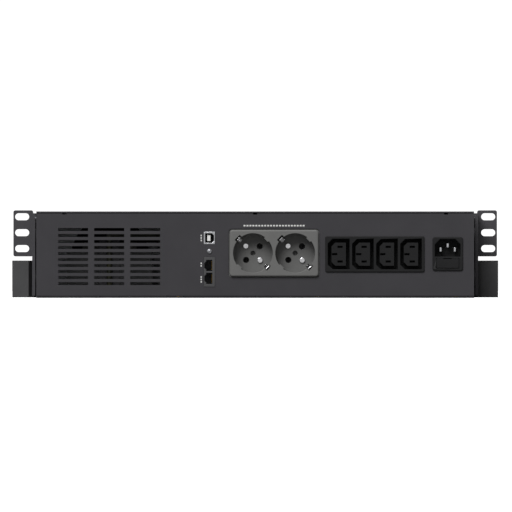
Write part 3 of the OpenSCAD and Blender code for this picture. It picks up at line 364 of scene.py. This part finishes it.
# %% Rules for rows, rings and scatters
def rule(name, **kinds):
    """An empty tree with named inputs; gives the tree and the sockets that carry the inputs."""
    tree = bpy.data.node_groups.new(name, "GeometryNodeTree")
    tree.interface.new_socket("Geometry", in_out="OUTPUT", socket_type="NodeSocketGeometry")
    for label, kind in kinds.items():
        tree.interface.new_socket(label, in_out="INPUT", socket_type="NodeSocket" + kind)
    return tree, add(tree, "NodeGroupInput").outputs


def finish_rule(tree, geometry, material):
    """Turns instances into real faces and gives them their material."""
    real = add(tree, "GeometryNodeRealizeInstances", Geometry=geometry).outputs[0]
    dressed = add(tree, "GeometryNodeSetMaterial", Geometry=real, Material=material).outputs[0]
    add(tree, "NodeGroupOutput", Geometry=dressed)
    return tree


def row_rule():
    tree, given = rule("row_of_blocks", Count="Int", First="Vector", Step="Vector", Size="Vector",
                       Material="Material")
    line = add(tree, "GeometryNodeMeshLine", {"mode": "OFFSET"}, Count=given["Count"],
               Start_Location=given["First"], Offset=given["Step"]).outputs[0]
    block = add(tree, "GeometryNodeMeshCube", Size=given["Size"]).outputs[0]
    row = add(tree, "GeometryNodeInstanceOnPoints", Points=line, Instance=block).outputs[0]
    return finish_rule(tree, row, given["Material"])


def ring_rule():
    """Blocks round an axis that runs along Y, each with its X side outwards."""
    tree, given = rule("ring_of_blocks", Count="Int", Radius="Float", Centre="Vector", Size="Vector",
                       Material="Material")
    circle = add(tree, "GeometryNodeMeshCircle", Vertices=given["Count"], Radius=given["Radius"]).outputs[0]
    outwards = add(tree, "FunctionNodeAlignRotationToVector", {"axis": "X"},
                   Vector=add(tree, "GeometryNodeInputPosition").outputs[0]).outputs[0]
    block = add(tree, "GeometryNodeMeshCube", Size=given["Size"]).outputs[0]
    ring = add(tree, "GeometryNodeInstanceOnPoints", Points=circle, Instance=block,
               Rotation=outwards).outputs[0]
    stood = add(tree, "GeometryNodeTransform", Geometry=ring, Rotation=(math.radians(90), 0, 0),
                Translation=given["Centre"]).outputs[0]
    return finish_rule(tree, stood, given["Material"])


def scatter_rule():
    """Blocks of mixed sizes strewn over a level rectangle, never closer than Spacing."""
    tree, given = rule("scattered_blocks", Width="Float", Depth="Float", Centre="Vector", Spacing="Float",
                       Seed="Int", Smallest="Vector", Largest="Vector", Material="Material")
    sheet = add(tree, "GeometryNodeMeshGrid", Size_X=given["Width"], Size_Y=given["Depth"]).outputs[0]
    spots = add(tree, "GeometryNodeDistributePointsOnFaces", {"distribute_method": "POISSON"}, Mesh=sheet,
                Distance_Min=given["Spacing"], Density_Max=60000.0, Seed=given["Seed"]).outputs[0]
    size = add(tree, "FunctionNodeRandomValue", {"data_type": "FLOAT_VECTOR"}, _0=given["Smallest"],
               _1=given["Largest"], Seed=given["Seed"]).outputs[0]
    block = add(tree, "GeometryNodeMeshCube", Size=(1, 1, 1)).outputs[0]
    strewn = add(tree, "GeometryNodeInstanceOnPoints", Points=spots, Instance=block, Scale=size).outputs[0]
    placed = add(tree, "GeometryNodeTransform", Geometry=strewn, Translation=given["Centre"]).outputs[0]
    return finish_rule(tree, placed, given["Material"])


rows, rings, scatters = row_rule(), ring_rule(), scatter_rule()


def grow(name, tree, node, **values):
    """Runs a rule once and keeps its result as a plain mesh on the body of a solid."""
    piece = bpy.data.objects.new(name, bpy.data.meshes.new(name))
    scene.collection.objects.link(piece)
    modifier = piece.modifiers.new("rule", "NODES")
    modifier.node_group = tree
    for item in tree.interface.items_tree:
        if item.in_out == "INPUT":
            modifier[item.identifier] = values[item.name]
    made = bpy.data.meshes.new_from_object(piece.evaluated_get(bpy.context.evaluated_depsgraph_get()))
    piece.modifiers.clear()
    piece.data = made
    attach(piece, body_of[node])
    return piece


print("rules:", rows.name, rings.name, scatters.name)

# %% [markdown]
# The rear panel is pad printed. Its words are left out: a row of dashes stands over the round
# outlets, and a few short dashes stand beside each port. Ink is about a twentieth of a millimetre.

# %% Printed marks
INK = 0.05 * MM
panel_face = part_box("rear_panel")[1].y


def middle(node):
    lo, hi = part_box(node)
    return (lo + hi) / 2


def dashes(name, count, x, z, step_x, step_z, width, height):
    """A row of printed dashes on the rear panel, centred on x and z; sizes in millimetres."""
    first = (x - (count - 1) / 2 * step_x * MM, panel_face, z - (count - 1) / 2 * step_z * MM)
    return grow(name, rows, "rear_panel", Count=count, First=first, Step=(step_x * MM, 0.0, step_z * MM),
                Size=(width * MM, 2 * INK, height * MM), Material=print_ink)


plate_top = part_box("schuko_block")[1].z
beside = middle("usb_shell").x + 8 * MM
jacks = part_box("surge_jack_body")
jack_tall = jacks[1].z - jacks[0].z
dashes("outlet_dashes", 21, middle("schuko_block").x, plate_top + 0.5 * MM, 2.9, 0, 1.9, 1.5)
dashes("square_port_dashes", 3, beside, middle("usb_shell").z, 0, 2.4, 1.2, 1.6)
dashes("upper_jack_dashes", 2, beside, jacks[1].z - jack_tall / 4, 0, 2.4, 1.2, 1.6)
dashes("lower_jack_dashes", 3, beside, jacks[0].z + jack_tall / 4, 0, 2.4, 1.2, 1.6)
print("marks on the face at y in mm:", round(panel_face / MM, 1))

# %% [markdown]
# A thumbscrew's knob is straight-knurled so that fingers grip it. The ribs stand a quarter of a
# millimetre proud, inside the clearance round the knob.

# %% Knurls
RIB_DEEP, RIB_WIDE, RIB_LONG = 0.5 * MM, 0.42 * MM, 3.2 * MM
RIB_MIDDLE = 2.5 * MM

for side in ("left", "right"):
    lo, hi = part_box("thumbscrew_" + side)
    knob_radius = (hi.x - lo.x) / 2
    grow("knurls_" + side, rings, "thumbscrew_" + side, Count=30, Radius=knob_radius,
         Centre=((lo.x + hi.x) / 2, lo.y + RIB_MIDDLE, (lo.z + hi.z) / 2),
         Size=(RIB_DEEP, RIB_WIDE, RIB_LONG), Material=zinc_screw)
print("knurls of radius mm:", round(knob_radius / MM, 2))

# %% [markdown]
# A sealed battery's lid has a bar over each of its six cells, which shows when the drawer is out.

# %% Battery lids
for side in ("left", "right"):
    lo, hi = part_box("battery_" + side)
    across = (hi.x - lo.x) / 7
    grow("lid_bars_" + side, rows, "battery_" + side, Count=6,
         First=(lo.x + across, (lo.y + hi.y) / 2, hi.z),
         Step=(across, 0.0, 0.0), Size=(across * 0.55, (hi.y - lo.y) * 0.7, 1.2 * MM), Material=battery_abs)

print("lid bars every mm:", round(across / MM, 1))

# %% [markdown]
# The display shows a level gauge and a load gauge, as plain dark bars behind the smoked window.

# %% Display segments
glass_low, glass_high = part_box("lcd_panel")
glass_wide, glass_tall = glass_high.x - glass_low.x, glass_high.z - glass_low.z
for name, count, level, share in (("level_gauge", 5, 0.62, 0.3), ("load_gauge", 14, 0.25, 0.14)):
    pitch = glass_wide * 0.8 / count
    first = (glass_low.x + glass_wide * 0.1 + pitch / 2, glass_low.y, glass_low.z + glass_tall * level)
    grow(name, rows, "lcd_panel", Count=count, First=first, Step=(pitch, 0.0, 0.0),
         Size=(pitch * 0.7, 0.1 * MM, glass_tall * share), Material=segment_ink)

print("display in mm:", round(glass_wide / MM, 1), round(glass_tall / MM, 1))

# %% [markdown]
# Small ceramic parts lie between the large ones on the main circuit board. Their places are random
# but seeded, so the board is the same each time.

# %% Small board parts
lo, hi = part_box("main_board")
grow("board_parts", scatters, "main_board", Width=(hi.x - lo.x) * 0.92, Depth=(hi.y - lo.y) * 0.92,
     Centre=((lo.x + hi.x) / 2, (lo.y + hi.y) / 2, hi.z + 0.3 * MM), Spacing=5.0 * MM, Seed=4,
     Smallest=(1.2 * MM, 0.8 * MM, 0.6 * MM), Largest=(3.2 * MM, 2.0 * MM, 1.6 * MM), Material=chip_ceramic)

# %% [markdown]
# ## The studio
# A pale seamless floor and soft light from above and from one side. The camera stands far behind
# the unit with a very long lens, so the rear panel is seen almost without perspective.

# %% Floor
def flat_square(name, half, z):
    mesh = bpy.data.meshes.new(name)
    corners = [(x * half, y * half, z) for x, y in ((-1, -1), (1, -1), (1, 1), (-1, 1))]
    mesh.from_pydata(corners, [], [(0, 1, 2, 3)])
    square = bpy.data.objects.new(name, mesh)
    scene.collection.objects.link(square)
    return square


paper, paper_tree, paper_shader, paper_place = new_material(
    "white_paper", Roughness=0.9, Specular_IOR_Level=0.0)
# the paper looks white, but throws back only a little light, as if it were laid over black card
looked_at = add(paper_tree, "ShaderNodeLightPath").outputs["Is Camera Ray"]
vary(paper_tree, paper_shader, looked_at, "#8a8a8a", "#ffffff")
floor = flat_square("studio_floor", 60, -0.0004)
floor.data.materials.append(paper)
print("floor:", floor.name)

# %% World and lights
world = bpy.data.worlds.new("light_tent")
scene.world = world
world.use_nodes = True
tent = world.node_tree
tent.nodes.clear()
direction = add(tent, "ShaderNodeTexCoord").outputs["Generated"]
height = add(tent, "ShaderNodeSeparateXYZ", Vector=direction).outputs["Z"]
path = add(tent, "ShaderNodeLightPath")
glow = add(tent, "ShaderNodeMapRange", Value=height, From_Min=-0.3, From_Max=0.8, To_Min=0.22, To_Max=0.42)
shine = add(tent, "ShaderNodeMapRange", Value=path.outputs["Is Glossy Ray"], To_Min=1.0, To_Max=2.0)
strength = add(tent, "ShaderNodeMath", {"operation": "MULTIPLY"},
               _0=glow.outputs["Result"], _1=shine.outputs["Result"])
fill = add(tent, "ShaderNodeBackground", Color=(1, 1, 1, 1), Strength=strength.outputs[0])
backdrop = add(tent, "ShaderNodeBackground", Color=(1, 1, 1, 1), Strength=1.1)
mixed = add(tent, "ShaderNodeMixShader", _0=path.outputs["Is Camera Ray"],
            _1=fill.outputs[0], _2=backdrop.outputs[0])
add(tent, "ShaderNodeOutputWorld", Surface=mixed.outputs[0])


def sun(name, towards, strength, spread):
    """A soft sun that shines from a direction given as a vector towards it."""
    light = bpy.data.objects.new(name, bpy.data.lights.new(name, "SUN"))
    light.data.energy, light.data.angle = strength, math.radians(spread)
    light.rotation_mode = "QUATERNION"
    light.rotation_quaternion = Vector(towards).to_track_quat("Z", "Y")
    scene.collection.objects.link(light)
    return light


sun("rear_key", (0.4, 1.0, 1.0), 3.6, 36)
sun("front_key", (0.8, -1.0, 0.9), 2.4, 36)
print("lights:", len(bpy.data.lights))

# %% Camera
EYE_DISTANCE, EYE_HEIGHT = 22.71, 0.0093
ear_face_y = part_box("ear_bracket_left")[0].y + 0.0025
rear_face_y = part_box("rear_panel")[1].y
camera = bpy.data.objects.new("camera", bpy.data.cameras.new("camera"))
camera.data.sensor_width, camera.data.lens = 36, 1600
camera.data.clip_start, camera.data.clip_end = 1, 200
camera.location = (0, ear_face_y + EYE_DISTANCE, EYE_HEIGHT)
aim = Vector((-0.0008, rear_face_y, 0.0412))
camera.rotation_mode = "QUATERNION"
camera.rotation_quaternion = (aim - camera.location).to_track_quat("-Z", "Y")
scene.collection.objects.link(camera)
scene.camera = camera
scene.view_settings.view_transform = "Standard"
print("camera lens in mm:", camera.data.lens)
